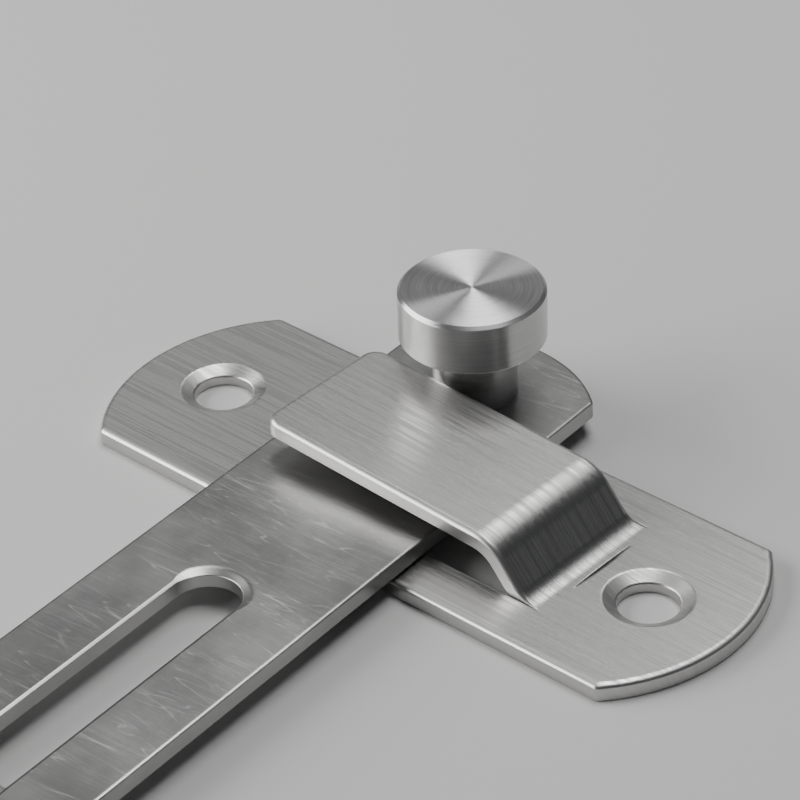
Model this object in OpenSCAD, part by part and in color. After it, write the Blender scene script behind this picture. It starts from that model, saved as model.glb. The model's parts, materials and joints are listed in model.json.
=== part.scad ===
// Swing-and-slide bar latch: a slotted flat bar turns and slides on a headed post,
// and its free end drops in behind the raised tongue of a keeper plate.
// Origin: pivot axis on the mounting plane. +X points to the keeper, +Z away from the door.

/* [Plates] */
// Width of the base plate and of the keeper plate, along X
plate_w = 29.6; // [28:0.1:36]
// Overall length of both plates, along Y
plate_l = 83.2; // [76:0.1:100]
// Thickness of the sheet both plates are cut from
plate_t = 2; // [1.5:0.1:3]
// Radius of the rounded plate ends
plate_end_r = 21.4; // [18.5:0.1:30]
// Distance between the two screw holes of a plate
hole_spacing = 61.4; // [56:0.1:66]
// Diameter of a screw hole
hole_d = 6.7; // [4:0.1:7]
// Diameter of the countersink at the top face
csk_d = 10; // [8:0.1:12]
// Depth of the countersink's cone
csk_depth = 0.8; // [0.5:0.05:1.8]
// Distance from the pivot to the middle of the keeper plate
keeper_x = 77.6; // [74:0.1:110]

/* [Keeper tongue] */
// Width of the raised tongue, along X
tongue_w = 18.2; // [14:0.1:20]
// Offset of the tongue from the middle of the keeper plate
tongue_x = 0.25; // [-1:0.05:1]
// Slope of the tongue's rising part, in degrees
tongue_rise = 50; // [40:1:65]
// Slight upward tilt of the tongue's long part, in degrees
tongue_tilt = 2.9; // [0:0.1:5]
// Radius of the tongue's lower bend, on its upper face
foot_r = 3.2; // [1:0.1:5]
// Inside radius of the tongue's upper bend
knee_r = 3.5; // [1:0.1:5]
// Corner radius at the tongue's tip
tip_r = 2; // [0.5:0.1:4]
// Reach of the tip past the edge of a bar that lies straight
tip_reach = 3.1; // [2:0.1:6]
// Clear height between the bar and the tongue, at the knee
tongue_clear = 1.3; // [0.8:0.1:3]
// Room between the edge of a straight bar and the rising part
side_room = 4.5; // [2:0.1:8]
// Cutting gap around the tongue in the window it is bent up from
lance_gap = 0.12; // [0.05:0.01:0.8]

/* [Bar] */
// Width of the bar
bar_w = 25; // [20:0.1:30]
// Thickness of the bar
bar_t = 2; // [1.5:0.1:3]
// Gap between the plates and the bar's underside
bar_gap = 0.3; // [0.2:0.05:0.8]
// Radius of the bar's curved ends
bar_end_r = 17.4; // [15.5:0.1:30]
// Bar length beyond the knob's axis
bar_nose = 10.7; // [10:0.1:20]
// From the pivot to the slot's front end, as the bar lies
slot_front = 46.7; // [30:0.1:54]
// How far the bar slides out from where it lies
slide_travel = 20; // [10:0.5:28]
// Metal left behind the slot's rear end
tail_web = 10; // [6:0.1:16]
// Angle by which the bar is turned from straight, as it lies
rest_angle = 3.74; // [0:0.01:6]

/* [Pivot] */
// Diameter of the post's shank
shank_d = 6; // [5:0.1:7]
// Diameter of the post's head
post_head_d = 16.6; // [14:0.1:20]
// Height of the post's head
post_head_h = 3.5; // [2.5:0.1:6]
// Outside diameter of the bush that guides the slot
bush_d = 7.7; // [7.5:0.05:9]
// Outside diameter of the washers
washer_d = 16; // [12:0.1:18]
// Thickness of the upper washer
washer_t = 0.6; // [0.4:0.05:1.2]
// Free height of the conical spring washer
spring_h = 0.8; // [0.5:0.05:1.4]
// Sheet thickness of the conical spring washer
spring_t = 0.35; // [0.2:0.05:0.45]

/* [Knob] */
// Diameter of the knob's head
knob_d = 16.6; // [12:0.1:20]
// Height of the knob's head
knob_h = 6.1; // [4:0.1:10]
// Diameter of the knob's stem
stem_d = 9.8; // [8:0.1:12]
// Height of the knob's stem above the bar
stem_h = 7.4; // [6.8:0.1:12]
// Chamfer on the edges of the knob and of the post's head
knob_bevel = 0.4; // [0.2:0.05:1.2]

/* [Fastening screws] */
// Thread diameter of the two screws from behind
screw_d = 4; // [3:0.1:4]
// Diameter of their countersunk heads
screw_head_d = 7.2; // [6:0.1:7.2]
// Width across flats of their hexagon sockets
socket_w = 2.5; // [2:0.1:2.5]
// Depth of their hexagon sockets
socket_h = 1.2; // [0.8:0.1:1.4]

/* [Clearances] */
// Radial clearance of the bush and washers on the shank, and of the bush in the slot
run_clear = 0.07; // [0.03:0.01:0.1]
// Gap between faces that slide on each other
face_gap = 0.02; // [0.01:0.01:0.05]
// Radial clearance of a screw in its hole
screw_clear = 0.1; // [0.05:0.01:0.2]
// Gap by which the stem passes the tongue's corner
pass_clear = 0.12; // [0.05:0.01:0.5]

/* [Hidden] */
$fn = 96;
eps = 0.01;                      // overlap that makes a cut run right through
bend_steps = 12;                 // straight facets in each bend of the tongue
bore_reach = 0.6;                // share of the head's height that the screw's bore goes up

// Heights of the stack, from the mounting plane up
bar_z = plate_t + bar_gap;
bar_top = bar_z + bar_t;
upper_z = bar_top + face_gap;
spring_z = upper_z + washer_t;
head_z = spring_z + spring_h + face_gap;
knob_z = bar_top + stem_h;

// Screws and bores
screw_bore_r = screw_d / 2 + screw_clear;
ring_r = shank_d / 2 + run_clear;
post_bore_top = head_z + post_head_h * bore_reach;
knob_bore_top = knob_z + knob_h * bore_reach;

// Tongue: two directions, and the corners of its top face in the YZ plane
top_dir = [cos(tongue_tilt), sin(tongue_tilt)];
rise_dir = [cos(tongue_rise), sin(tongue_rise)];
knee_z = bar_top + tongue_clear + plate_t;
foot_y = -(bar_w / 2 + side_room) - plate_t / sin(tongue_rise) - (bar_top - plate_t) / tan(tongue_rise);
knee_y = foot_y + (knee_z - plate_t) / tan(tongue_rise);
tip_y = bar_w / 2 + tip_reach;
foot = [foot_y, plate_t];
knee = [knee_y, knee_z];
tip = knee + top_dir * (tip_y - knee_y) / top_dir[0];
foot_cut = foot_r * tan(tongue_rise / 2);
knee_turn = tongue_rise - tongue_tilt;
knee_top_r = knee_r + plate_t;
knee_cut = knee_top_r * tan(knee_turn / 2);
foot_start = foot_y - foot_cut;

// The window is as long as the flat blank of the tongue
foot_arc = (foot_r + plate_t / 2) * tongue_rise * PI / 180;
knee_arc = (knee_r + plate_t / 2) * knee_turn * PI / 180;
rise_run = norm(knee - foot) - foot_cut - knee_cut;
top_run = norm(tip - knee) - knee_cut;
blank_l = foot_arc + rise_run + knee_arc + top_run;
window_end = foot_start + blank_l + lance_gap;

// The knob's axis lies just where its stem passes the rounded corner of the tongue
corner = [keeper_x + tongue_x + tongue_w / 2 - tip_r, tip_y - tip_r];
knob_s = norm(corner) + tip_r + stem_d / 2 + pass_clear;

slot_r = bush_d / 2 + run_clear;
nose_s = knob_s + bar_nose;
tail_s = -slide_travel - slot_r - tail_web;

// A strip with both ends curved, from x0 to x1 along X
module round_ended_strip(x0, x1, width, end_r) {
    intersection() {
        translate([x0, -width / 2]) square([x1 - x0, width]);
        union() {
            translate([x0 + end_r, -width]) square([x1 - x0 - 2 * end_r, 2 * width]);
            translate([x0 + end_r, 0]) circle(r = end_r, $fn = 180);
            translate([x1 - end_r, 0]) circle(r = end_r, $fn = 180);
        }
    }
}

// The blank that the base plate and the keeper plate share, long side along Y
module plate_blank() {
    difference() {
        linear_extrude(plate_t)
            rotate(90) round_ended_strip(-plate_l / 2, plate_l / 2, plate_w, plate_end_r);
        for (side = [-1, 1])
            translate([0, side * hole_spacing / 2, 0]) wood_screw_hole();
    }
}

// Countersunk hole for a mounting screw, open at the top
module wood_screw_hole() {
    translate([0, 0, -eps]) cylinder(d = hole_d, h = plate_t + 2 * eps);
    translate([0, 0, plate_t - csk_depth]) cylinder(d1 = hole_d, d2 = csk_d, h = csk_depth);
    translate([0, 0, plate_t]) cylinder(d = csk_d, h = eps);
}

// Hole for a screw that comes up from behind, its countersink at z = 0
module rear_screw_hole(thickness) {
    sink_r = screw_head_d / 2 + screw_clear;
    translate([0, 0, -eps]) cylinder(r = screw_bore_r, h = thickness + 2 * eps);
    cylinder(r1 = sink_r, r2 = screw_bore_r, h = sink_r - screw_bore_r);
    translate([0, 0, -eps]) cylinder(r = sink_r, h = eps);
}

// Countersunk screw pointing up, its head flush with z = 0
module rear_screw(length) {
    cone_h = (screw_head_d - screw_d) / 2;
    difference() {
        union() {
            cylinder(d1 = screw_head_d, d2 = screw_d, h = cone_h);
            cylinder(d = screw_d, h = length);
        }
        translate([0, 0, -eps]) cylinder(d = socket_w / cos(30), h = socket_h + eps, $fn = 6);
    }
}

// Round ring standing on z = 0
module ring(outer_r, inner_r, height) {
    difference() {
        cylinder(r = outer_r, h = height);
        translate([0, 0, -eps]) cylinder(r = inner_r, h = height + 2 * eps);
    }
}

// Turned head on a stem, standing on z = 0, with a blind bore from below
module turned_knob(stem_dia, stem_len, head_dia, head_len, bore_len) {
    stem_r = stem_dia / 2;
    head_r = head_dia / 2;
    top = stem_len + head_len;
    difference() {
        rotate_extrude()
            polygon([[0, 0], [stem_r, 0], [stem_r, stem_len], [head_r - knob_bevel / 2, stem_len],
                     [head_r, stem_len + knob_bevel / 2], [head_r, top - knob_bevel],
                     [head_r - knob_bevel, top], [0, top]]);
        translate([0, 0, -eps]) cylinder(r = screw_bore_r, h = bore_len + eps);
    }
}

// Points of the tongue's top face moved down by depth: foot bend, rise, knee bend, tip
function foot_point(t, depth) =
    [foot_start, plate_t + foot_r] + (foot_r + depth) * [sin(t), -cos(t)];
function knee_point(t, depth) =
    knee - knee_cut * rise_dir + knee_top_r * [rise_dir[1], -rise_dir[0]]
    + (knee_top_r - depth) * [-sin(t), cos(t)];
function face(depth) = concat(
    [for (i = [0 : bend_steps]) foot_point(tongue_rise * i / bend_steps, depth)],
    [for (i = [0 : bend_steps]) knee_point(tongue_rise - knee_turn * i / bend_steps, depth)],
    [tip + depth * [top_dir[1], -top_dir[0]]]);
function reversed(list) = [for (i = [len(list) - 1 : -1 : 0]) list[i]];

// Rectangle from y0 to y1 whose two far corners are rounded
module rounded_end(width, y0, y1, corner_r) {
    translate([-width / 2, y0]) square([width, y1 - corner_r - y0]);
    translate([-width / 2 + corner_r, y1 - 2 * corner_r])
        square([width - 2 * corner_r, 2 * corner_r]);
    for (side = [-1, 1])
        translate([side * (width / 2 - corner_r), y1 - corner_r]) circle(r = corner_r);
}

// The bent tongue, cut to its rounded tip
module tongue() {
    root = [[foot_start - plate_t, plate_t], [foot_start - plate_t, 0]];
    intersection() {
        translate([-tongue_w / 2, 0, 0])
            rotate([90, 0, 90]) linear_extrude(tongue_w)
                polygon(concat(face(0), reversed(face(plate_t)), [root[1], root[0]]));
        linear_extrude(3 * knee_z)
            rounded_end(tongue_w, foot_start - 2 * plate_t, tip_y, tip_r);
    }
}

module base_plate() {
    color([0.76, 0.76, 0.75]) difference() {
        plate_blank();
        rear_screw_hole(plate_t);
    }
}

module keeper_plate() {
    window_w = tongue_w + 2 * lance_gap;
    color([0.76, 0.76, 0.75]) translate([keeper_x, 0, 0]) union() {
        difference() {
            plate_blank();
            translate([tongue_x, 0, -eps]) linear_extrude(plate_t + 2 * eps)
                rounded_end(window_w, foot_start, window_end, tip_r + lance_gap);
        }
        translate([tongue_x, 0, 0]) tongue();
    }
}

module latch_bar() {
    color([0.7, 0.7, 0.69]) rotate(rest_angle) translate([0, 0, bar_z]) difference() {
        linear_extrude(bar_t) difference() {
            round_ended_strip(tail_s, nose_s, bar_w, bar_end_r);
            for (end = [-slide_travel, slot_front]) translate([end, 0]) circle(r = slot_r);
            translate([-slide_travel, -slot_r]) square([slot_front + slide_travel, 2 * slot_r]);
        }
        translate([knob_s, 0, 0]) rear_screw_hole(bar_t);
    }
}

module pivot_post() {
    color([0.8, 0.8, 0.8]) translate([0, 0, plate_t])
        turned_knob(shank_d, head_z - plate_t, post_head_d, post_head_h, post_bore_top - plate_t);
}

module pivot_screw() {
    color([0.55, 0.55, 0.56]) rear_screw(post_bore_top - face_gap);
}

module slide_bush() {
    color([0.88, 0.87, 0.83]) translate([0, 0, bar_z]) ring(bush_d / 2, ring_r, bar_t);
}

module lower_washer() {
    color([0.88, 0.87, 0.83]) translate([0, 0, plate_t + face_gap])
        ring(washer_d / 2, ring_r, bar_gap - 2 * face_gap);
}

module upper_washer() {
    color([0.75, 0.75, 0.75]) translate([0, 0, upper_z]) ring(washer_d / 2, ring_r, washer_t);
}

module spring_washer() {
    rise = spring_h - spring_t;
    outer_r = washer_d / 2 - spring_h;
    color([0.6, 0.6, 0.62]) translate([0, 0, spring_z]) rotate_extrude()
        polygon([[outer_r, 0], [outer_r, spring_t], [ring_r, rise + spring_t], [ring_r, rise]]);
}

module knob() {
    color([0.8, 0.8, 0.8]) rotate(rest_angle) translate([knob_s, 0, bar_top])
        turned_knob(stem_d, stem_h, knob_d, knob_h, knob_bore_top - bar_top);
}

module knob_screw() {
    color([0.55, 0.55, 0.56]) rotate(rest_angle) translate([knob_s, 0, bar_z])
        rear_screw(knob_bore_top - bar_z - face_gap);
}

base_plate();
keeper_plate();
latch_bar();
pivot_post();
pivot_screw();
slide_bush();
lower_washer();
upper_washer();
spring_washer();
knob();
knob_screw();
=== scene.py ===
"""Looks of the sliding swing bar latch: its sheet metal and turned parts, placed on the CAD frame."""

import json
import math

import bpy
import numpy as np
from mathutils import Matrix, Vector, geometry


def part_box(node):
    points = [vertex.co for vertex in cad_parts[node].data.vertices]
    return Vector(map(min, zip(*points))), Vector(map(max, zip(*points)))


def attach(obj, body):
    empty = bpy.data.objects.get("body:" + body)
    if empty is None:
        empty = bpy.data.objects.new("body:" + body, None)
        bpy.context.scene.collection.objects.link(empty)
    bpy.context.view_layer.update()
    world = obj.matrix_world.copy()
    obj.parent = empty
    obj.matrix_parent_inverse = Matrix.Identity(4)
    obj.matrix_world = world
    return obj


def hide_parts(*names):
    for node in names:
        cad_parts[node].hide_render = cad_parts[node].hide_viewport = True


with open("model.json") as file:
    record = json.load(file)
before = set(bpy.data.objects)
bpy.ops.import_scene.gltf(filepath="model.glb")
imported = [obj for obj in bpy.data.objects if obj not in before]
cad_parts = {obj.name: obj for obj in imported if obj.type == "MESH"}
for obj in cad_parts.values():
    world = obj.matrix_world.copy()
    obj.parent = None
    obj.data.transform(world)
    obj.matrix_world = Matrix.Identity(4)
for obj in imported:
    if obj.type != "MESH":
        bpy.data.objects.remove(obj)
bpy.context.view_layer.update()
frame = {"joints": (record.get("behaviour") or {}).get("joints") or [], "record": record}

MM = 0.001
TAU = 2 * math.pi
UV_UNIT = 100.0                  # one unit of the grain map is this many millimetres

# ---------------------------------------------------------------- sizes in millimetres


def box_mm(node):
    """Lowest and highest corner of a CAD node, in millimetres."""
    low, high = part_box(node)
    return np.array(low) / MM, np.array(high) / MM


def mount(name):
    """The record's mount of this name."""
    return next(m for m in frame["record"]["mounts"] if m["name"] == name)


def joint(name):
    """The frame's joint of this name."""
    return next(j for j in frame["joints"] if j["name"] == name)


base_low, base_high = box_mm("base_plate")
bar_low, bar_high = box_mm("latch_bar")
knob_low, knob_high = box_mm("knob")
post_low, post_high = box_mm("pivot_post")
bush_low, bush_high = box_mm("slide_bush")
under_low, under_high = box_mm("lower_washer")
upper_low, upper_high = box_mm("upper_washer")
spring_low, spring_high = box_mm("spring_washer")
pivot_screw_low, pivot_screw_high = box_mm("pivot_screw")
knob_screw_low, knob_screw_high = box_mm("knob_screw")

# Both plates and their countersunk holes.
KEEPER_HOLES = mount("keeper_screws")
PLATE_W = base_high[0] - base_low[0]
PLATE_L = base_high[1] - base_low[1]
PLATE_T = base_high[2] - base_low[2]
PLATE_END_R = 21.4
PLATE_CORNER_R = 0.9
HOLE_SPACING = KEEPER_HOLES["dims"]["spacing_y_mm"]
HOLE_R = KEEPER_HOLES["dims"]["hole_r_mm"]
CSK_R = 5.0
CSK_DEPTH = 0.8
KEEPER_X = KEEPER_HOLES["pos_m"][0] / MM

# The tongue, and the short line pressed into the sheet beside its foot.
TONGUE_W = 18.2
TONGUE_X = 0.25                  # its middle, from the plate's
TONGUE_RISE = math.radians(50)
TONGUE_TILT = math.radians(2.9)  # slope of its long top face
FOOT_R = 3.2
KNEE_R = 3.5
TIP_R = 2.0
TIP_REACH = 3.1                  # from the bar's far side to the tip
TONGUE_CLEAR = 1.3               # from the bar's top to the tongue at the knee
SIDE_ROOM = 4.5                  # from the bar's near side to the tongue's rising part
LANCE_GAP = 0.12                 # width of the cut beside the tongue
CREASE_X = (-3.8, 6.3)
CREASE_BACK = 0.75               # from the foot's bend to the line
CREASE_W = 0.62
GROOVE_DEPTH = 0.3

# The bar and its slot.
RUN_CLEAR = 0.07                 # between parts that move on each other
BAR_W = 25.0
BAR_T = bar_high[2] - bar_low[2]
BAR_TOP = bar_high[2]
BAR_END_R = 17.4
BAR_CORNER_R = 0.6
BAR_NOSE = 10.7                  # from the knob's axis to the end
BAR_AXIS = joint("bar_slide")["axis"]
BAR_ANGLE = math.atan2(BAR_AXIS[1], BAR_AXIS[0])
SLIDE_TRAVEL = joint("bar_slide")["range_m"][1] / MM
SLOT_R = (bush_high[0] - bush_low[0]) / 2 + RUN_CLEAR
SLOT_FRONT = 46.7
TAIL_WEB = 10.0                  # metal behind the slot
KNOB_AT = (knob_low + knob_high) / 2
KNOB_S = math.hypot(KNOB_AT[0], KNOB_AT[1])

# The knob, the post and what goes on it.
PIVOT_AT = (0.0, 0.0)
SHANK_R = 3.0
RING_R = SHANK_R + RUN_CLEAR
STEM_R = 4.9
STEM_H = 7.4
KNOB_R = (knob_high[0] - knob_low[0]) / 2
KNOB_UNDER = BAR_TOP + STEM_H
POST_HEAD_R = (post_high[0] - post_low[0]) / 2
POST_HEAD_H = 3.5
POST_UNDER = post_high[2] - POST_HEAD_H
HEAD_BEVEL = 0.4
SCREW_R = 2.0
SCREW_BORE_R = 2.1
BORE_ROUND = 0.1
SCREW_HEAD_R = 3.6
SCREW_SINK_R = 3.7
SOCKET_W = 2.5
SOCKET_H = 1.2
SOCKET_LIP = 0.06                # how far the hexagon reaches into the round at the socket's mouth
BORE_REACH = 0.6                 # share of a head's height that the bore reaches
SPRING_T = 0.35
RING_ROUND = 0.08

# Edges: width and drop of the rounded top edge, and the small round underneath.
PLATE_ROLL = (0.8, 0.5, 0.15)
TONGUE_ROLL = (0.8, 0.55, 0.2)
WINDOW_ROLL = (0.12, 0.12, 0.1)
BAR_ROLL = (0.45, 0.22, 0.12)
BURR_R = 0.12

# Chamfers: width and depth, and the rounds above and below the sloping face and at the lower edge.
HOLE_SINK = (CSK_R - HOLE_R - BURR_R, CSK_DEPTH)
HOLE_ROUNDS = [0.7, 0.35, BURR_R]
SLOT_CHAMFER = (0.35, 0.16)
SLOT_ROUNDS = [0.5, 0.08, BURR_R]
SLOT_END_CHAMFER = (1.0, 0.42)
SLOT_END_ROUNDS = [1.4, 0.1, BURR_R]
SLOT_END_BLEND = 0.5             # share of the slot's radius over which one chamfer becomes the other
SLOT_END_EASE = 0.8

# ---------------------------------------------------------------- outlines

CORNER_TRIM = 1.6                # curve points nearer a corner than this many radii make room for it
LEAST_MITRE = 0.4                # keeps the offset of a very sharp corner short


def arc_points(centre, radius, start, end, steps):
    """Points along an arc with both ends included; angles are in radians."""
    return [
        (centre[0] + radius * math.cos(a), centre[1] + radius * math.sin(a))
        for a in np.linspace(start, end, steps + 1)
    ]


def fillet(points, radii, steps=5, closed=True):
    """Rounds the corners of a polyline whose radius isn't zero, and returns the new points."""
    out = []
    count = len(points)
    for i, (p, r) in enumerate(zip(points, radii)):
        if r <= 0 or (not closed and i in (0, count - 1)):
            out.append((float(p[0]), float(p[1])))
            continue
        a, b, c = (np.array(points[j % count], float) for j in (i - 1, i, i + 1))
        u = (a - b) / np.linalg.norm(a - b)
        v = (c - b) / np.linalg.norm(c - b)
        half = math.acos(max(-1.0, min(1.0, float(u @ v)))) / 2
        middle = (u + v) / np.linalg.norm(u + v)
        centre = b + middle * r / math.sin(half)
        start = b + u * r / math.tan(half) - centre
        turn = (math.pi - 2 * half) * (1 if u[0] * v[1] - u[1] * v[0] < 0 else -1)
        for t in np.linspace(0, turn, steps + 1):
            x = start[0] * math.cos(t) - start[1] * math.sin(t)
            y = start[0] * math.sin(t) + start[1] * math.cos(t)
            out.append((centre[0] + x, centre[1] + y))
    return out


def round_ended_strip(x0, x1, width, end_r, corner_r, steps=48):
    """Strip along X with curved ends, anticlockwise, its four corners rounded by corner_r."""
    swing = math.asin(width / 2 / end_r)
    right = arc_points((x1 - end_r, 0), end_r, -swing, swing, steps)
    left = arc_points((x0 + end_r, 0), end_r, math.pi - swing, math.pi + swing, steps)
    sharp = {0, steps, steps + 1, 2 * steps + 1}
    return round_arc_corners(right + left, sharp, corner_r)


def round_arc_corners(points, sharp, radius, steps=5):
    """Rounds marked corners between a curve and a straight side by trimming the points near them."""
    kept, radii = [], []
    for i, p in enumerate(points):
        near = min(math.dist(p, points[j]) for j in sharp)
        if i in sharp or near > CORNER_TRIM * radius:
            kept.append(p)
            radii.append(radius if i in sharp else 0)
    return fillet(kept, radii, steps)


def circle_hole(centre, radius, steps=96):
    """Clockwise circle, so that the metal lies on its left."""
    return arc_points(centre, radius, 0, -TAU, steps)[:-1]


def slot_hole(x0, x1, radius, steps=36):
    """Clockwise slot with round ends centred at x0 and x1."""
    quarter = math.pi / 2
    right = arc_points((x1, 0), radius, quarter, -quarter, steps)
    left = arc_points((x0, 0), radius, -quarter, -3 * quarter, steps)
    return right + left


# ---------------------------------------------------------------- edge profiles
# A profile is a list of (inset, depth, outward, upward), from the top face over the edge to the
# bottom face: inset goes into the metal, and outward and upward are the parts of the normal there.


def rolled_edge(thickness, width, drop, under, steps=6, under_steps=3):
    """Edge with an elliptical round at the top and a small round underneath."""
    out = []
    for a in np.linspace(0, math.pi / 2, steps + 1):
        side, up = math.sin(a) / width, math.cos(a) / drop
        size = math.hypot(side, up)
        out.append((width * (1 - math.sin(a)), drop * (1 - math.cos(a)), side / size, up / size))
    for a in np.linspace(0, math.pi / 2, under_steps + 1):
        inset, depth = under * (1 - math.cos(a)), thickness - under * (1 - math.sin(a))
        out.append((inset, depth, math.cos(a), -math.sin(a)))
    return np.array(out)


def line_normal(before, here, after):
    """Normal to the right of a line at a point of it, from the stretches before and after."""
    total = np.zeros(2)
    for a, b in ((before, here), (here, after)):
        step = np.array(b) - np.array(a)
        total += np.array([step[1], -step[0]]) * np.linalg.norm(step)
    return total / np.linalg.norm(total)


def cornered_edge(corners, radii):
    """Edge through (inset, depth) corners, each rounded, with flat faces beyond both ends."""
    far = 6.0                    # any length well past the rounds will do
    (first_inset, first_depth), (last_inset, last_depth) = corners[0], corners[-1]
    points = [(first_inset + far, first_depth), *corners, (last_inset + far, last_depth)]
    ring = fillet(points, [0, *radii, 0], 6, closed=False)
    out = []
    for before, here, after in zip(ring, ring[1:], ring[2:]):
        out.append((*here, *line_normal(before, here, after)))
    return np.array(out)


def chamfered_edge(thickness, chamfer, rounds):
    """Edge of a hole with a sloping face, of the given width and depth, at the top."""
    width, depth = chamfer
    return cornered_edge([(width, 0), (0, depth), (0, thickness)], rounds)


def outward(points):
    """Points, mitred offset directions and shading normals of a closed outline, metal on its left."""
    pts = np.array(points, float)
    step = np.roll(pts, -1, axis=0) - pts
    size = np.linalg.norm(step, axis=1)[:, None]
    after = np.stack([step[:, 1], -step[:, 0]], 1) / size
    before = np.roll(after, 1, axis=0)
    mean = before + after
    mean /= np.linalg.norm(mean, axis=1)[:, None]
    offset = mean / np.clip((mean * after).sum(1), LEAST_MITRE, 1)[:, None]
    shade = after * size**2 + before * np.roll(size, 1, axis=0) ** 2
    return pts, offset, shade / np.linalg.norm(shade, axis=1)[:, None]


# ---------------------------------------------------------------- mesh builders

ACROSS = np.array([1.0, 0, 0])
UP = np.array([0, 0, 1.0])
ON_AXIS = 1e-6                   # a radius or angle below this counts as none
LATHE_UV_R = 8                   # the grain map of a turned part is laid on a cylinder of this radius


def new_object(name, vertices, faces, normals, corner_uvs, at=(0, 0, 0), masks=None):
    """Mesh object from millimetre vertices and exact normals, with its grain map.

    masks: for each name, a value from 0 to 1 at each vertex that materials can read."""
    mesh = bpy.data.meshes.new(name)
    mesh.from_pydata((np.array(vertices) * MM).tolist(), [], faces)
    mesh.polygons.foreach_set("use_smooth", [True] * len(mesh.polygons))
    grain = mesh.uv_layers.new(name="grain")
    grain.data.foreach_set("uv", (np.array(corner_uvs, float) / UV_UNIT).ravel())
    for key, values in (masks or {}).items():
        mesh.attributes.new(key, "FLOAT", "POINT").data.foreach_set("value", values)
    mesh.update()
    mesh.normals_split_custom_set_from_vertices(np.array(normals).tolist())
    obj = bpy.data.objects.new(name, mesh)
    obj.location = Vector(at) * MM
    bpy.context.scene.collection.objects.link(obj)
    return obj


def inside(point, rings):
    """Even-odd test of a point against closed rings."""
    x, y = point
    hit = False
    for ring in rings:
        x0, y0 = ring[:, 0], ring[:, 1]
        x1, y1 = np.roll(x0, -1), np.roll(y0, -1)
        crosses = (y0 > y) != (y1 > y)
        rise = np.where(crosses, y1 - y0, 1)
        at = (x1 - x0) * (y - y0) / rise + x0
        hit ^= bool(np.count_nonzero(crosses & (x < at)) % 2)
    return hit


def fill_region(rings, extra_points=(), extra_edges=()):
    """Triangles over the region that closed rings bound, keeping extra points and edges.

    Point numbers run through the rings in order and then through extra_points."""
    points, edges = [], []
    for ring in rings:
        first, count = len(points), len(ring)
        points += [Vector((float(p[0]), float(p[1]))) for p in ring]
        edges += [(first + i, first + (i + 1) % count) for i in range(count)]
    points += [Vector((float(p[0]), float(p[1]))) for p in extra_points]
    edges += list(extra_edges)
    found, _, faces, origins, _, _ = geometry.delaunay_2d_cdt(points, edges, [], 0, 1e-6)
    kept = []
    for face in faces:
        a, b, c = (found[i] for i in face)
        if inside((a + b + c) / 3, rings):
            order = face if (b - a).cross(c - a) > 0 else face[::-1]
            kept.append([origins[i][0] for i in order])
    return kept


class Sheet:
    """A sheet with rounded edges whose flat blank is laid on a surface.

    surface(x, s, loop, i): point on the top face, run direction and normal there.
    tops and bottoms hold, for each loop, where the edge meets that face and its vertex numbers."""

    def __init__(self, surface):
        self.surface = surface
        self.vertices, self.normals, self.uvs = [], [], []
        self.faces, self.corner_uvs = [], []
        self.masks = {"rim": [], "groove": []}
        self.tops, self.bottoms = [], []

    def add_vertex(self, level, depth, side, up, run, edge_uv, flat_uv, rim=0, groove=0):
        """Vertex at a depth under the surface; side and up are the parts of its normal."""
        point, along, normal = level
        shade = side * (run[0] * ACROSS + run[1] * along) + up * normal
        self.vertices.append(point - normal * depth)
        self.normals.append(shade / np.linalg.norm(shade))
        self.uvs.append((edge_uv, flat_uv))
        self.masks["rim"].append(rim)
        self.masks["groove"].append(groove)

    def add_face(self, face, flat=False):
        self.faces.append(face)
        self.corner_uvs.extend(self.uvs[v][1 if flat else 0] for v in face)

    def add_edge(self, outline, profile, other, share):
        """Edge along a loop: its profile turns into the other by the share at each point."""
        number, start = len(self.tops), len(self.vertices)
        pts, offset, shade = outward(outline)
        count = len(pts)
        for row, other_row in zip(profile, other):
            for i in range(count):
                inset, depth, side, up = row * (1 - share[i]) + other_row * share[i]
                x, s = pts[i] - offset[i] * inset
                level = self.surface(x, s, number, i)
                spread = pts[i] + shade[i] * (depth - inset)
                self.add_vertex(level, depth, side, up, shade[i], spread[::-1], (s, x), rim=abs(side))
        for k in range(len(profile) - 1):
            a, b = start + k * count, start + (k + 1) * count
            for i in range(count):
                j = (i + 1) % count
                self.add_face([a + i, b + i, b + j, a + j])
        for rings, k in ((self.tops, 0), (self.bottoms, len(profile) - 1)):
            inset = profile[k][0] * (1 - share) + other[k][0] * share
            first = start + k * count
            rings.append((pts - offset * inset[:, None], range(first, first + count)))

    def add_dents(self, points):
        """Vertices of dents in the top face, from (x, s, depth, slope). Returns their numbers."""
        first = len(self.vertices)
        for x, s, depth, slope in points:
            level = self.surface(x, s, 0, 0)
            # Share of the line's full depth: the mask of the painted shade in the pressed line.
            groove = min(1, depth / GROOVE_DEPTH)
            self.add_vertex(level, depth, slope, 1, (0, 1), (s, x), (s, x), groove=groove)
        return range(first, len(self.vertices))

    def fill(self, rings, edges, points=(), numbers=(), under=False):
        """Flat face between rings, with extra edges and with extra points of these numbers."""
        index = [v for _, ring_numbers in rings for v in ring_numbers]
        index += numbers
        for face in fill_region([ring for ring, _ in rings], points, edges):
            face = [index[i] for i in face]
            self.add_face(face[::-1] if under else face, flat=True)


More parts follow.
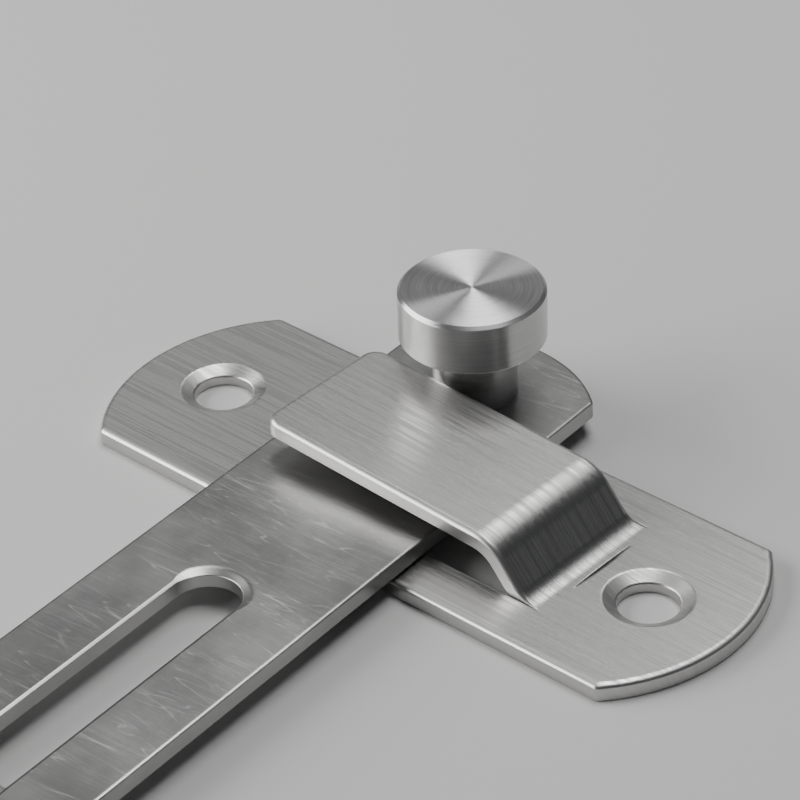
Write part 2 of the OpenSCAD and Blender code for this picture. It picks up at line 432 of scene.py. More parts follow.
def sheet_metal(name, loops, surface, folds=(), dents=((), ())):
    """Sheet metal object on a surface.

    loops: (outline, profile, other profile, share of the other at each point), metal on the left.
    folds: (loop, i, j) pairs of outline points joined by a straight line across the sheet.
    dents: points (x, s, depth, slope) in the top face, and the edges between them."""
    sheet = Sheet(surface)
    for loop in loops:
        sheet.add_edge(*loop)
    dent_points, dent_edges = dents
    numbers = sheet.add_dents(dent_points)
    firsts = [0]
    for outline, _, _, _ in loops:
        firsts.append(firsts[-1] + len(outline))
    fold_edges = [(firsts[n] + i, firsts[n] + j) for n, i, j in folds]
    dent_edges = [(firsts[-1] + a, firsts[-1] + b) for a, b in dent_edges]
    places = [(x, s) for x, s, _, _ in dent_points]
    sheet.fill(sheet.tops, fold_edges + dent_edges, places, numbers)
    sheet.fill(sheet.bottoms, fold_edges, under=True)
    return new_object(
        name, sheet.vertices, sheet.faces, sheet.normals, sheet.corner_uvs, masks=sheet.masks
    )


def plain_loop(outline, profile):
    """A loop whose edge is the same all the way round."""
    return outline, profile, profile, np.zeros(len(outline))


def six_sided(angle):
    """Radius of a hexagon at an angle, as a share of its corner radius, and its side's direction."""
    sixth = TAU / 6
    side = (math.floor(angle / sixth) + 0.5) * sixth
    return math.cos(sixth / 2) / math.cos(angle - side), side


def lathe_faces(rows, uvs, steps):
    """Faces between the rows of vertices of a turned solid, and the grain place of each corner."""
    faces, corner_uvs = [], []
    for low, high in zip(rows, rows[1:] + rows[:1]):
        if len(low) == len(high) == 1:
            continue
        for k in range(steps):
            j = (k + 1) % steps
            if len(low) == 1:
                face = [low[0], high[j], high[k]]
            elif len(high) == 1:
                face = [low[k], low[j], high[0]]
            else:
                face = [low[k], low[j], high[j], high[k]]
            faces.append(face)
            for v in face:
                wrapped = j == 0 and uvs[v][0] == 0
                corner_uvs.append((TAU * LATHE_UV_R if wrapped else uvs[v][0], uvs[v][1]))
    return faces, corner_uvs


def lathe(name, axis, corners, hex_r=0.0, steps=144):
    """Turned solid on a vertical axis, from (radius, height, round) corners with metal on their left.

    Points nearer the axis than hex_r follow a hexagon instead of a circle."""
    ring = fillet([(r, z) for r, z, _ in corners], [rounding for _, _, rounding in corners])
    vertices, normals, uvs, rows = [], [], [], []
    run = 0.0
    for i, (r, z) in enumerate(ring):
        out, up = line_normal(ring[i - 1], ring[i], ring[(i + 1) % len(ring)])
        run += math.dist(ring[i - 1], ring[i]) if i else 0
        if r < ON_AXIS:
            rows.append([len(vertices)])
            vertices.append((0, 0, z))
            normals.append((0, 0, math.copysign(1, up)))
            uvs.append((0, run))
            continue
        rows.append(range(len(vertices), len(vertices) + steps))
        for k in range(steps):
            angle = TAU * k / steps
            share, side = six_sided(angle + ON_AXIS) if r <= hex_r else (1, angle)
            vertices.append((r * share * math.cos(angle), r * share * math.sin(angle), z))
            normals.append((out * math.cos(side), out * math.sin(side), up))
            uvs.append((angle * LATHE_UV_R, run))
    faces, corner_uvs = lathe_faces(rows, uvs, steps)
    return new_object(name, vertices, faces, normals, corner_uvs, (axis[0], axis[1], 0))


# ---------------------------------------------------------------- the plates


def flat_sheet(origin, angle, top_z):
    """Surface of a flat sheet placed at origin and turned by angle."""
    c, s = math.cos(angle), math.sin(angle)
    along = np.array([-s, c, 0])

    def surface(x, y, *_):
        point = np.array([origin[0] + x * c - y * s, origin[1] + x * s + y * c, top_z])
        return point, along, UP

    return surface


def plate_loops():
    """Outline and countersunk holes that both plates share, long side along Y."""
    strip = round_ended_strip(-PLATE_L / 2, PLATE_L / 2, PLATE_W, PLATE_END_R, PLATE_CORNER_R)
    outline = [(-y, x) for x, y in strip]
    hole_edge = chamfered_edge(PLATE_T, HOLE_SINK, HOLE_ROUNDS)
    loops = [plain_loop(outline, rolled_edge(PLATE_T, *PLATE_ROLL))]
    for side in (-1, 1):
        loops.append(plain_loop(circle_hole((0, side * HOLE_SPACING / 2), HOLE_R), hole_edge))
    return loops


def rear_screw_loop(centre, thickness):
    """Hole for the screw that comes from behind, countersunk underneath."""
    sink = SCREW_SINK_R - SCREW_BORE_R
    corners = [(0, 0), (0, thickness - sink), (sink, thickness)]
    return plain_loop(circle_hole(centre, SCREW_BORE_R, 72), cornered_edge(corners, [BORE_ROUND] * 3))


class Tongue:
    """The bent tongue: corners of its top face, bend lengths at mid-thickness, and its path."""

    def __init__(self):
        rise, tilt = TONGUE_RISE, TONGUE_TILT
        self.rise_dir = np.array([math.cos(rise), math.sin(rise)])
        self.top_dir = np.array([math.cos(tilt), math.sin(tilt)])
        knee_z = BAR_TOP + TONGUE_CLEAR + PLATE_T
        side = BAR_W / 2 + SIDE_ROOM
        foot_y = -side - PLATE_T / math.sin(rise) - (BAR_TOP - PLATE_T) / math.tan(rise)
        knee_y = foot_y + (knee_z - PLATE_T) / math.tan(rise)
        tip_y = BAR_W / 2 + TIP_REACH
        foot = np.array([foot_y, PLATE_T])
        knee = np.array([knee_y, knee_z])
        tip = knee + self.top_dir * (tip_y - knee_y) / self.top_dir[0]
        foot_cut = FOOT_R * math.tan(rise / 2)
        self.knee_top_r = KNEE_R + PLATE_T
        knee_cut = self.knee_top_r * math.tan((rise - tilt) / 2)
        self.start = foot_y - foot_cut
        self.foot_mid_r = FOOT_R + PLATE_T / 2
        self.knee_mid_r = KNEE_R + PLATE_T / 2
        self.foot_arc = self.foot_mid_r * rise
        self.knee_arc = self.knee_mid_r * (rise - tilt)
        self.rise_run = np.linalg.norm(knee - foot) - foot_cut - knee_cut
        top_run = np.linalg.norm(tip - knee) - knee_cut
        self.length = self.foot_arc + self.rise_run + self.knee_arc + top_run
        self.foot_centre = np.array([self.start, PLATE_T + FOOT_R])
        turned = np.array([self.rise_dir[1], -self.rise_dir[0]])
        self.knee_centre = knee - knee_cut * self.rise_dir + self.knee_top_r * turned

    def at(self, s):
        """Point of the top face in the YZ plane, and the slope there, at length s from the foot."""
        if s <= 0:
            return np.array([self.start + s, PLATE_T]), 0.0
        if s < self.foot_arc:
            t = s / self.foot_mid_r
            return self.foot_centre + FOOT_R * np.array([math.sin(t), -math.cos(t)]), t
        s -= self.foot_arc
        t = TONGUE_RISE
        foot_end = self.foot_centre + FOOT_R * np.array([math.sin(t), -math.cos(t)])
        if s < self.rise_run:
            return foot_end + s * self.rise_dir, t
        s -= self.rise_run
        t = TONGUE_RISE - min(s, self.knee_arc) / self.knee_mid_r
        bend = self.knee_centre + self.knee_top_r * np.array([-math.sin(t), math.cos(t)])
        return bend + max(0.0, s - self.knee_arc) * self.top_dir, t

    def stations(self):
        """Lengths at which the sheet is creased finely enough to bend smoothly."""
        foot = np.linspace(0, self.foot_arc, 15)
        knee = self.foot_arc + self.rise_run + np.linspace(0, self.knee_arc, 19)
        return [float(s) for s in [*foot, *knee]]


def lance_loop(tongue):
    """The cut round the tongue: along the window's end, down its side, and round the tongue."""
    x0, x1 = TONGUE_X - TONGUE_W / 2, TONGUE_X + TONGUE_W / 2
    gap, foot, tip = LANCE_GAP, tongue.start, tongue.start + tongue.length
    half, pi = gap / 2, math.pi
    end_r = TIP_R + gap
    end_s = tip + gap - end_r
    window = arc_points((x0 + TIP_R, end_s), end_r, pi, pi / 2, 10)
    window += arc_points((x1 - TIP_R, end_s), end_r, pi / 2, 0, 10)
    right_end = arc_points((x1 + half, foot), half, 0, -pi, 6)
    left_end = arc_points((x0 - half, foot), half, 0, -pi, 6)
    rows = tongue.stations()[1:]
    up = [(x1, foot + s) for s in rows]
    down = [(x0, foot + s) for s in rows[::-1]]
    nose = arc_points((x1 - TIP_R, tip - TIP_R), TIP_R, 0, pi / 2, 12)
    nose += arc_points((x0 + TIP_R, tip - TIP_R), TIP_R, pi / 2, pi, 12)
    points = window + right_end + up + nose + down + left_end
    first = len(window) + len(right_end)
    last = first + len(up) + len(nose) + len(down)
    run = np.array([p[1] for p in points]) - foot
    share = np.clip(run / tongue.foot_arc, 0, 1)
    share[:first] = 0
    share[last:] = 0
    folds = [(first + k, last - 1 - k) for k in range(-1, len(rows))]
    bent = np.zeros(len(points), bool)
    bent[first:last] = True
    return points, share, bent, folds


def crease(x0, x1, s, width, depth, steps=14):
    """A narrow pressed line across the sheet that fades out at both ends."""
    points, edges = [], []
    rows = 4
    end_width = 0.25             # share of the width that is left at the ends
    for row in range(rows + 1):
        across = -1 + 2 * row / rows
        for k in range(steps + 1):
            t = k / steps
            fade = math.sin(math.pi * t) ** 0.5
            half = width / 2 * (end_width + (1 - end_width) * fade)
            down = depth * fade * (1 + math.cos(math.pi * across)) / 2
            slope = -depth * fade * math.pi * math.sin(math.pi * across) / 2 / half
            points.append((x0 + (x1 - x0) * t, s + across * half, down, slope))
            here = row * (steps + 1) + k
            if k:
                edges.append((here - 1, here))
            if row:
                edges.append((here - steps - 1, here))
    return points, edges


def keeper_plate():
    """The plate with the lanced and bent tongue, as one sheet."""
    tongue = Tongue()
    points, share, bent, folds = lance_loop(tongue)
    window_edge = rolled_edge(PLATE_T, *WINDOW_ROLL)
    tongue_edge = rolled_edge(PLATE_T, *TONGUE_ROLL)
    loops = [*plate_loops(), (points, window_edge, tongue_edge, share)]
    number = len(loops) - 1
    flat = flat_sheet((KEEPER_X, 0), 0, PLATE_T)

    def surface(x, s, loop, i):
        if loop != number or not bent[i]:
            return flat(x, s)
        (y, z), t = tongue.at(s - tongue.start)
        along = np.array([0, math.cos(t), math.sin(t)])
        return np.array([KEEPER_X + x, y, z]), along, np.array([0, -math.sin(t), math.cos(t)])

    lines = [(number, a, b) for a, b in folds]
    marks = crease(*CREASE_X, tongue.start - CREASE_BACK, CREASE_W, GROOVE_DEPTH)
    return sheet_metal("keeper_plate_sheet", loops, surface, lines, marks)


def base_plate():
    """The plate that carries the pivot."""
    loops = [*plate_loops(), rear_screw_loop((0, 0), PLATE_T)]
    return sheet_metal("base_plate_sheet", loops, flat_sheet((0, 0), 0, PLATE_T))


# ---------------------------------------------------------------- the bar


def latch_bar():
    """The slotted bar. The slot's chamfer is widest round its two ends."""
    tail = -SLIDE_TRAVEL - SLOT_R - TAIL_WEB
    outline = round_ended_strip(tail, KNOB_S + BAR_NOSE, BAR_W, BAR_END_R, BAR_CORNER_R)
    slot = slot_hole(-SLIDE_TRAVEL, SLOT_FRONT, SLOT_R)
    past_side = np.array([max(x - SLOT_FRONT, -SLIDE_TRAVEL - x, 0) for x, _ in slot])
    end_share = np.clip(past_side / (SLOT_END_BLEND * SLOT_R), 0, 1) ** SLOT_END_EASE
    side_edge = chamfered_edge(BAR_T, SLOT_CHAMFER, SLOT_ROUNDS)
    end_edge = chamfered_edge(BAR_T, SLOT_END_CHAMFER, SLOT_END_ROUNDS)
    loops = [
        plain_loop(outline, rolled_edge(BAR_T, *BAR_ROLL)),
        (slot, side_edge, end_edge, end_share),
        rear_screw_loop((KNOB_S, 0), BAR_T),
    ]
    return sheet_metal("latch_bar_sheet", loops, flat_sheet((0, 0), BAR_ANGLE, BAR_TOP))


# ---------------------------------------------------------------- the turned parts


def turned_knob(name, axis, foot_z, stem_r, under_z, head_r, top_z):
    """Turned head on a stem with a blind bore from below."""
    bore_top = under_z + BORE_REACH * (top_z - under_z)
    low = HEAD_BEVEL / 2
    return lathe(name, axis, [
        (SCREW_BORE_R, foot_z, 0.1),
        (stem_r, foot_z, 0.1),
        (stem_r, under_z, 0.25),
        (head_r - low, under_z, 0.12),
        (head_r, under_z + low, 0.12),
        (head_r, top_z - HEAD_BEVEL, 0.16),
        (head_r - HEAD_BEVEL, top_z, 0.1),
        (0, top_z, 0),
        (0, bore_top, 0),
        (SCREW_BORE_R, bore_top, 0.1),
    ])


def flat_ring(name, low, high):
    """Washer or bush round the post that fills the box from low to high."""
    outer = (high[0] - low[0]) / 2
    corners = [(RING_R, low[2]), (outer, low[2]), (outer, high[2]), (RING_R, high[2])]
    return lathe(name, (low + high) / 2, [(*corner, RING_ROUND) for corner in corners])


def conical_ring(name, low, high):
    """Conical spring washer round the post, high at its inner edge."""
    outer = (high[0] - low[0]) / 2
    corners = [
        (RING_R, high[2] - SPRING_T),
        (outer, low[2]),
        (outer, low[2] + SPRING_T),
        (RING_R, high[2]),
    ]
    return lathe(name, (low + high) / 2, [(*corner, RING_ROUND) for corner in corners])


def rear_screw(name, low, high):
    """Countersunk screw pointing up, with a hexagon socket in its flush head."""
    socket_r = SOCKET_W / 2 / math.cos(math.pi / 6)
    cone = SCREW_HEAD_R - SCREW_R
    corners = [
        (0, low[2] + SOCKET_H, 0),
        (socket_r, low[2] + SOCKET_H, 0.08),
        (socket_r, low[2], 0.12),
        (SCREW_HEAD_R, low[2], 0.1),
        (SCREW_R, low[2] + cone, 0.2),
        (SCREW_R, high[2], 0.3),
        (0, high[2], 0),
    ]
    return lathe(name, (low + high) / 2, corners, hex_r=socket_r + SOCKET_LIP)


# ---------------------------------------------------------------- materials

MIX_COLOUR_INPUTS = (0, 6, 7)    # places of factor, A and B among the inputs of a colour Mix node
MIX_COLOUR_OUTPUT = 2
LEAST_ROUGHNESS = 0.305          # on smoother metal the denoised render is left with rough patches
MARK_BREAKS = 1.1                # how fast a turned mark changes on its way round the axis
# Near black painted into the pressed line: painted shade in the crease.
CREASE_SHADE_COLOUR = (0.02, 0.02, 0.02, 1)
DARK_TINT = 0.62
LIGHT_TINT = 1.12
HAIRLINE_ANGLES = (0.1, 0.3, 0.5, 0.7, 0.95, 1.3, 1.9, 2.7)
HAIRLINE_WIDTH = 0.009           # in heights of the noise that the lines are contours of


class Paint:
    """A metal or plastic material and short calls for its nodes."""

    def __init__(self, name, colour, roughness, metallic=1.0, anisotropy=0.0):
        self.material = bpy.data.materials.new(name)
        self.material.use_nodes = True
        self.tree = self.material.node_tree
        self.shader = self.tree.nodes["Principled BSDF"]
        self.set(self.shader, {
            "Base Color": (*colour, 1), "Roughness": roughness,
            "Metallic": metallic, "Anisotropic": anisotropy, "Anisotropic Rotation": 0.25,
        })
        self.colour = colour

    def set(self, node, values):
        """Sets a node's inputs, each to a constant or to what another node gives."""
        for key, value in values.items():
            if isinstance(value, bpy.types.NodeSocket):
                self.tree.links.new(value, node.inputs[key])
            else:
                node.inputs[key].default_value = value

    def node(self, kind, inputs, out=0, **settings):
        """Output of a new node."""
        node = self.tree.nodes.new(kind)
        for key, value in settings.items():
            setattr(node, key, value)
        self.set(node, inputs)
        return node.outputs[out]

    def grain(self):
        """Place on the sheet: X along the grain, Y across it, 100 mm to one unit."""
        return self.node("ShaderNodeUVMap", {}, uv_map="grain")

    def local(self):
        """Place in the piece, in metres from its own axis."""
        return self.node("ShaderNodeTexCoord", {}, "Object")

    def mask(self, name, gain=None):
        """A mask of the mesh, times the gain if there is one, but not over 1.

        rim is 1 where the surface faces sideways, and groove is 1 in a pressed line."""
        mask = self.node("ShaderNodeAttribute", {}, "Fac", attribute_name=name)
        return self.math("MINIMUM", self.math("MULTIPLY", mask, gain), 1.0) if gain else mask

    def less(self, value, mask, share=1.0):
        """The value, reduced by a share of itself where the mask is 1."""
        kept = self.math("SUBTRACT", 1.0, self.math("MULTIPLY", mask, share))
        return self.math("MULTIPLY", value, kept)

    def mapped(self, vector, scale, angle=0.0, shift=(0, 0, 0)):
        inputs = {"Vector": vector, "Scale": scale, "Rotation": (0, 0, angle), "Location": shift}
        return self.node("ShaderNodeMapping", inputs)

    def noise(self, vector, scale=1.0, detail=2.0, roughness=0.5):
        inputs = {"Vector": vector, "Scale": scale, "Detail": detail, "Roughness": roughness}
        return self.node("ShaderNodeTexNoise", inputs, "Fac")

    def streaks(self, grain, along, across, angle=0.0, shift=(0, 0, 0), detail=2, roughness=0.5):
        """Noise drawn out along the grain: so many waves along and across it in 100 mm."""
        place = self.mapped(grain, (along, across, 1), angle, shift)
        return self.noise(place, detail=detail, roughness=roughness)

    def math(self, operation, a, b=0.0):
        return self.node("ShaderNodeMath", {0: a, 1: b}, operation=operation)

    def weighted(self, first, first_weight, second, second_weight):
        """Sum of two values, each times its weight."""
        first = self.math("MULTIPLY", first, first_weight)
        return self.math("ADD", first, self.math("MULTIPLY", second, second_weight))

    def ranged(self, value, low, high, to_low=0, to_high=1):
        """Maps low..high to to_low..to_high with a smooth step."""
        inputs = {
            "Value": value, "From Min": low, "From Max": high,
            "To Min": to_low, "To Max": to_high,
        }
        return self.node("ShaderNodeMapRange", inputs, interpolation_type="SMOOTHSTEP")

    def mixed(self, amount, first, second):
        """Blend of two colours, or colour sockets, by an amount from 0 to 1."""
        inputs = dict(zip(MIX_COLOUR_INPUTS, (amount, first, second)))
        return self.node("ShaderNodeMix", inputs, MIX_COLOUR_OUTPUT, data_type="RGBA")

    def tint(self, amount):
        """The base colour between two brightnesses of itself, by an amount from 0 to 1."""
        dark = tuple(c * DARK_TINT for c in self.colour)
        light = tuple(min(1.0, c * LIGHT_TINT) for c in self.colour)
        return self.mixed(amount, (*dark, 1), (*light, 1))

    def bump(self, height, depth, strength=1.0):
        """Relief of the given depth in millimetres where height goes from 0 to 1."""
        inputs = {"Height": height, "Strength": strength, "Distance": depth * MM}
        return self.node("ShaderNodeBump", inputs)


def brushed_steel(name):
    """Sheet brushed along its length: fine streaks and single scratches in relief, gloss and tone, a
    painted highlight on its rounded edges and painted shade in its pressed line.
    """
    p = Paint(name, (0.57, 0.565, 0.555), 0.4)
    grain = p.grain()
    fine = p.streaks(grain, 8, 760, roughness=0.6)
    medium = p.streaks(grain, 5, 300, 0.008, (3.1, 7.7, 0))
    broad = p.streaks(grain, 3, 150, -0.01, (9.3, 1.9, 0))
    dark = p.ranged(p.streaks(grain, 7, 640, 0.012, (5.5, 2.2, 0), detail=1), 0.59, 0.69)
    light = p.ranged(p.streaks(grain, 10, 560, -0.018, (1.5, 8.2, 0), detail=1), 0.62, 0.72)
    rim = p.mask("rim", gain=1.4)
    streaks = p.weighted(fine, 0.5, medium, 0.5)
    height = p.math("SUBTRACT", streaks, p.math("MULTIPLY", dark, 0.5))
    tone = p.ranged(p.weighted(streaks, 0.65, broad, 0.35), 0.41, 0.59, 0.0, 0.9)
    tone = p.math("SUBTRACT", p.math("ADD", tone, p.math("MULTIPLY", light, 0.4)), dark)
    # On the rounded edges and side faces the tone is raised: a painted highlight.
    tone = p.math("ADD", p.less(tone, rim, 0.85), p.math("MULTIPLY", rim, 0.6))
    p.set(p.shader, {
        # Painted shade: the colour goes to near black in the pressed line.
        "Base Color": p.mixed(p.mask("groove"), p.tint(tone), CREASE_SHADE_COLOUR),
        "Roughness": p.ranged(tone, 0.0, 1.0, 0.48, LEAST_ROUGHNESS),
        "Anisotropic": p.less(0.72, rim, 0.9),
        "Normal": p.bump(p.less(height, rim, 0.8), 0.016),
        "Tangent": p.node("ShaderNodeTangent", {}, direction_type="UV_MAP", uv_map="grain"),
    })
    return p.material


def hairlines(p, grain):
    """Thin curved scratches in many directions, in patches: 1 on a scratch and 0 beside it."""
    scratches = None
    for k, angle in enumerate(HAIRLINE_ANGLES):
        waves = p.streaks(grain, 4, 70, angle, (k * 3.3, k * 5.1, 0), detail=0)
        from_line = p.math("ABSOLUTE", p.math("SUBTRACT", waves, 0.5))
        patches = p.streaks(grain, 16, 16, angle, (k * 1.7, k * 2.9, 0))
        line = p.ranged(from_line, 0.0, HAIRLINE_WIDTH, 1, 0)
        line = p.math("MULTIPLY", line, p.ranged(patches, 0.40, 0.62))
        scratches = line if scratches is None else p.math("MAXIMUM", scratches, line)
    return scratches


def swirled_steel(name):
    """Bar polished by hand: fine curved scratches over a cloudy, dark satin ground, with a painted
    highlight along its rounded rims.
    """
    p = Paint(name, (0.41, 0.408, 0.40), 0.25)
    grain = p.grain()
    scratches = hairlines(p, grain)
    cloud = p.ranged(p.streaks(grain, 6, 6, 0.6, (2.4, 6.1, 0), detail=5, roughness=0.6), 0.25, 0.75)
    satin = p.streaks(grain, 120, 700, 0.5)
    # Lighter on the scratches, their own tone, and on the rounded rim, a painted highlight.
    light = p.math("MAXIMUM", scratches, p.mask("rim"))
    tone = p.math("ADD", p.math("MULTIPLY", cloud, 0.7), 0.1)
    height = p.math("SUBTRACT", satin, scratches)
    p.set(p.shader, {
        "Base Color": p.tint(p.math("ADD", tone, p.math("MULTIPLY", light, 0.5))),
        "Roughness": p.math("ADD", p.weighted(cloud, 0.05, scratches, 0.1), LEAST_ROUGHNESS),
        "Normal": p.bump(p.less(height, p.mask("rim", gain=4.0)), 0.0022),
    })
    return p.material


def turned_rings(p, spacing):
    """Place on tool marks: they follow the radius on a face and the height on a side."""
    x, y, z = p.node("ShaderNodeSeparateXYZ", {"Vector": p.local()}).node.outputs
    radius = p.math("SQRT", p.math("ADD", p.math("MULTIPLY", x, x), p.math("MULTIPLY", y, y)))
    across = p.math("MULTIPLY", p.math("ADD", radius, z), 1 / (spacing * MM))
    around = [
        p.math("MULTIPLY", p.math("DIVIDE", side, p.math("MAXIMUM", radius, 1e-5)), MARK_BREAKS)
        for side in (x, y)
    ]
    return p.node("ShaderNodeCombineXYZ", {"X": across, "Y": around[0], "Z": around[1]})


def turned_steel(name, colour, roughness, anisotropy, spacing):
    """Turned metal: concentric marks, anisotropic gloss round the axis, a few small nicks, and painted
    shade on its sides.

    roughness: where the marks are dark and where they are light.
    spacing: about how many millimetres from one mark to the next."""
    p = Paint(name, colour, roughness[0], anisotropy=anisotropy)
    rings = turned_rings(p, spacing)
    fine = p.noise(rings, detail=3, roughness=0.6)
    broad = p.noise(p.mapped(rings, (0.2, 1, 1)), detail=2)
    nicks = p.ranged(p.noise(p.local(), scale=900, detail=2), 0.66, 0.72)
    tone = p.weighted(fine, 0.8, broad, 0.2)
    normal = p.node("ShaderNodeTexCoord", {}, "Normal")
    facing_up = p.math("ABSOLUTE", p.node("ShaderNodeSeparateXYZ", {"Vector": normal}, "Z"))
    side = p.math("SUBTRACT", 1.0, facing_up)
    height = p.math("SUBTRACT", fine, p.math("MULTIPLY", nicks, 0.6))
    gloss = p.less(p.ranged(tone, 0.33, 0.67, *roughness), side, 0.35)
    p.set(p.shader, {
        # Base colour darker on the sides than on the flat faces: painted shade.
        "Base Color": p.tint(p.less(p.ranged(tone, 0.3, 0.7, 0.4, 1.0), side, 0.5)),
        "Roughness": p.math("MAXIMUM", gloss, LEAST_ROUGHNESS),
        "Anisotropic": p.less(anisotropy, side, 0.5),
        "Normal": p.bump(p.less(height, side, 0.85), 0.002),
        "Tangent": p.node("ShaderNodeTangent", {}, direction_type="RADIAL", axis="Z"),
    })
    return p.material


def moulded_nylon(name):
    """Slightly translucent moulded plastic with a fine matt texture."""
    p = Paint(name, (0.78, 0.76, 0.69), 0.48, metallic=0.0)
    texture = p.noise(p.local(), scale=3500, detail=2)
    cloud = p.noise(p.local(), scale=260, detail=2)
    p.set(p.shader, {
        "Subsurface Weight": 0.15,
        "Subsurface Scale": 0.0015,
        "Base Color": p.tint(p.ranged(cloud, 0.3, 0.7, 0.75, 0.95)),
        "Roughness": p.ranged(texture, 0.3, 0.7, 0.42, 0.55),
        "Normal": p.bump(texture, 0.01, 0.5),
    })
    return p.material


# ---------------------------------------------------------------- stage, light and camera

LOOK_AZ = math.radians(-47.1)
LOOK_EL = math.radians(34.43)
LOOK_ROLL = math.radians(-2.23)
LOOK_DISTANCE = 375.9            # from the camera to LOOK_AT
LOOK_AT = Vector((KEEPER_X + 12.89, 15.30, 0.0))
LENS = 148.3
TO_RIGHT = Vector((math.cos(LOOK_AZ), math.sin(LOOK_AZ), 0))
TO_BACK = Vector((-math.sin(LOOK_AZ), math.cos(LOOK_AZ), 0))
LIT_POINT = Vector((KEEPER_X * 0.8, 0.0, 6.0)) * MM    # what the soft lights face

# Soft lights: azimuth, elevation and spin in degrees, distance, width and height in metres, watts.
LIGHTS = {
    "overhead": (58, 72, 13, 0.55, 0.25, 0.42, 2.4),
    "left_panel": (172, 29, 82, 0.6, 0.6, 0.34, 4.2),
    "left_strip": (190, 8, 100, 0.5, 0.5, 0.08, 1.3),
    "back_card": (87, 33, 177, 0.9, 0.7, 0.3, 0.2),
    "right_card": (2, 7, 92, 0.9, 0.9, 0.14, 0.22),
}
WORLD_COLOUR = (0.9, 0.93, 1.0, 1)
WORLD_STRENGTH = 0.065
FLOOR_COLOUR = (0.52, 0.52, 0.515)
FLOOR_REACH = 6.0                # metres each way
FLOOR_DROP = 0.02                # millimetres below the plates


def camera():
    """The camera of the main view, turned a little about its own axis."""
    back = Vector((
        math.sin(LOOK_AZ) * math.cos(LOOK_EL),
        -math.cos(LOOK_AZ) * math.cos(LOOK_EL),
        math.sin(LOOK_EL),
    ))
    up = back.cross(TO_RIGHT)
    across = math.cos(LOOK_ROLL) * TO_RIGHT + math.sin(LOOK_ROLL) * up
    upward = -math.sin(LOOK_ROLL) * TO_RIGHT + math.cos(LOOK_ROLL) * up
    data = bpy.data.cameras.new("camera")
    data.lens = LENS
    data.clip_start = 0.01
    data.clip_end = 50
    obj = bpy.data.objects.new("camera", data)
    place = (LOOK_AT + LOOK_DISTANCE * back) * MM
    obj.matrix_world = Matrix.Translation(place) @ Matrix((across, upward, back)).transposed().to_4x4()
    bpy.context.scene.collection.objects.link(obj)
    bpy.context.scene.camera = obj


def direction_of(azimuth, elevation):
    """Unit vector from angles in degrees; azimuth 0 is the camera's right and 90 is away from it."""
    a, e = math.radians(azimuth), math.radians(elevation)
    flat = math.cos(a) * TO_RIGHT + math.sin(a) * TO_BACK
    return math.cos(e) * flat + math.sin(e) * Vector((0, 0, 1))


def softbox(name, azimuth, elevation, spin, distance, width, height, power):
    """Soft rectangular light facing the object; its width runs towards the azimuth called spin."""
    direction = direction_of(azimuth, elevation)
    across = direction_of(spin, 0)
    across = (across - across.dot(direction) * direction).normalized()
    data = bpy.data.lights.new(name, "AREA")
    data.shape = "RECTANGLE"
    data.size = width
    data.size_y = height
    data.energy = power
    obj = bpy.data.objects.new(name, data)
    place = LIT_POINT + direction * distance
    axes = Matrix((across, direction.cross(across), direction)).transposed()
    obj.matrix_world = Matrix.Translation(place) @ axes.to_4x4()
    obj.visible_camera = False
    bpy.context.scene.collection.objects.link(obj)


def studio():
    """Dim even light from all round, and the soft lights."""
    world = bpy.data.worlds.new("studio")
    world.use_nodes = True
    background = world.node_tree.nodes["Background"]
    background.inputs["Color"].default_value = WORLD_COLOUR
    background.inputs["Strength"].default_value = WORLD_STRENGTH
    bpy.context.scene.world = world
    for name, values in LIGHTS.items():
        softbox(name, *values)


def floor():
    """The plain pale floor just below the plates."""
    p = Paint("pale_floor", FLOOR_COLOUR, 0.85, metallic=0.0)
    p.set(p.shader, {"Specular IOR Level": 0.2})
    mesh = bpy.data.meshes.new("floor")
    corners = [(x * FLOOR_REACH, y * FLOOR_REACH, 0) for x, y in ((-1, -1), (1, -1), (1, 1), (-1, 1))]
    mesh.from_pydata(corners, [], [(0, 1, 2, 3)])
    obj = bpy.data.objects.new("floor", mesh)
    obj.location = (0, 0, -FLOOR_DROP * MM)
    mesh.materials.append(p.material)
    bpy.context.scene.collection.objects.link(obj)


# ---------------------------------------------------------------- assembly


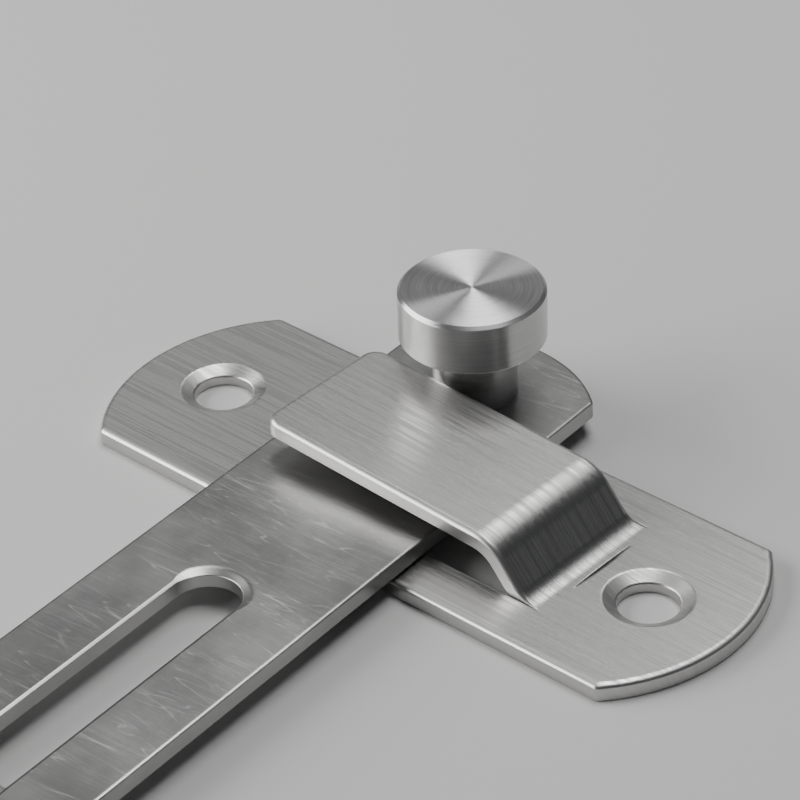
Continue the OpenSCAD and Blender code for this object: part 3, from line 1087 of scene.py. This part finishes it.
def finish_piece(obj, node, body, material):
    """Gives a piece its material and its body, and hides the CAD node it stands for."""
    obj.data.materials.append(material)
    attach(obj, body)
    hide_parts(node)


plate_steel = brushed_steel("brushed_plate_steel")
bar_steel = swirled_steel("polished_bar_steel")
knob_steel = turned_steel("turned_knob_steel", (0.68, 0.675, 0.67), (0.4, 0.33), 0.97, 0.09)
washer_steel = turned_steel("washer_steel", (0.6, 0.6, 0.6), (0.38, 0.28), 0.4, 0.3)
screw_steel = turned_steel("rear_screw_steel", (0.42, 0.42, 0.43), (0.4, 0.3), 0.5, 0.2)
spring_steel = turned_steel("spring_washer_steel", (0.40, 0.405, 0.42), (0.36, 0.26), 0.4, 0.25)
nylon = moulded_nylon("nylon_plastic")

base = base_plate()
keeper = keeper_plate()
bar = latch_bar()
knob = turned_knob("knob_turned", KNOB_AT, knob_low[2], STEM_R, KNOB_UNDER, KNOB_R, knob_high[2])
post = turned_knob(
    "pivot_post_turned", PIVOT_AT, post_low[2], SHANK_R, POST_UNDER, POST_HEAD_R, post_high[2]
)
pivot_screw = rear_screw("pivot_screw_hex", pivot_screw_low, pivot_screw_high)
knob_screw = rear_screw("knob_screw_hex", knob_screw_low, knob_screw_high)
bush = flat_ring("slide_bush_ring", bush_low, bush_high)
lower_washer = flat_ring("lower_washer_ring", under_low, under_high)
upper_washer = flat_ring("upper_washer_ring", upper_low, upper_high)
spring_washer = conical_ring("spring_washer_cone", spring_low, spring_high)

finish_piece(base, "base_plate", "plates", plate_steel)
finish_piece(keeper, "keeper_plate", "plates", plate_steel)
finish_piece(bar, "latch_bar", "bar", bar_steel)
finish_piece(knob, "knob", "bar", knob_steel)
finish_piece(post, "pivot_post", "plates", knob_steel)
finish_piece(pivot_screw, "pivot_screw", "plates", screw_steel)
finish_piece(knob_screw, "knob_screw", "bar", screw_steel)
finish_piece(bush, "slide_bush", "guide", nylon)
finish_piece(lower_washer, "lower_washer", "guide", nylon)
finish_piece(upper_washer, "upper_washer", "guide", washer_steel)
finish_piece(spring_washer, "spring_washer", "guide", spring_steel)

studio()
floor()
camera()
